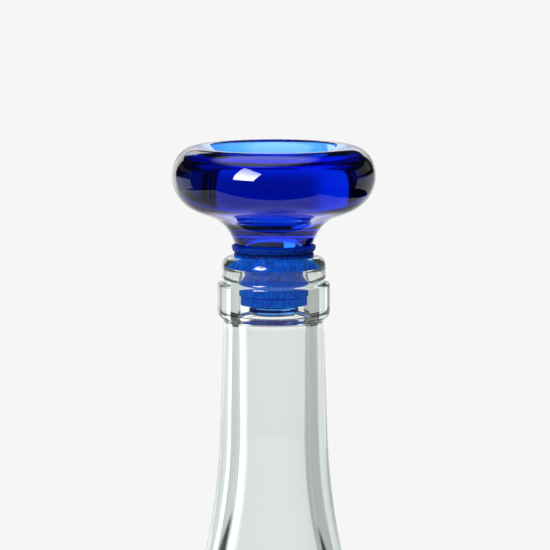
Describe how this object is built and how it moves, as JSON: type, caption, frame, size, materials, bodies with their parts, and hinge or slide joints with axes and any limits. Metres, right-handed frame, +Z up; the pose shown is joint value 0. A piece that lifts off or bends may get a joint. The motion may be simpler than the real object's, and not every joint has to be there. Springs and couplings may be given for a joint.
{
  "type": "wine bottle with glass stopper",
  "caption": "Clear glass wine bottle closed by a blue glass mushroom-shaped stopper with a shallow dished top and a ribbed silicone sleeve.",
  "frame": {"origin": "centre of the standing ring under the bottle, in the plane that it stands on", "axes": "+Z up along the common axis of the bottle and the stopper"},
  "size_m": [0.0816, 0.0816, 0.3193],
  "materials": {
    "clear_glass": "fire-polished clear",
    "blue_glass": "polished cobalt blue",
    "blue_silicone": "matte moulded silicone"
  },
  "bodies": {
    "bottle": {"bottle": "clear_glass"},
    "sleeve": {"stopper_sleeve": "blue_silicone"},
    "knob": {"stopper_knob": "blue_glass"}
  },
  "joints": [
    {"name": "stopper_pull", "type": "slide", "parent": "bottle", "child": "sleeve", "axis": [0, 0, 1], "range_m": [0, 0.04]},
    {"name": "stopper_twist", "type": "hinge", "parent": "sleeve", "child": "knob", "pos_m": [0, 0, 0.29], "axis": [0, 0, 1], "continuous": true}
  ]
}
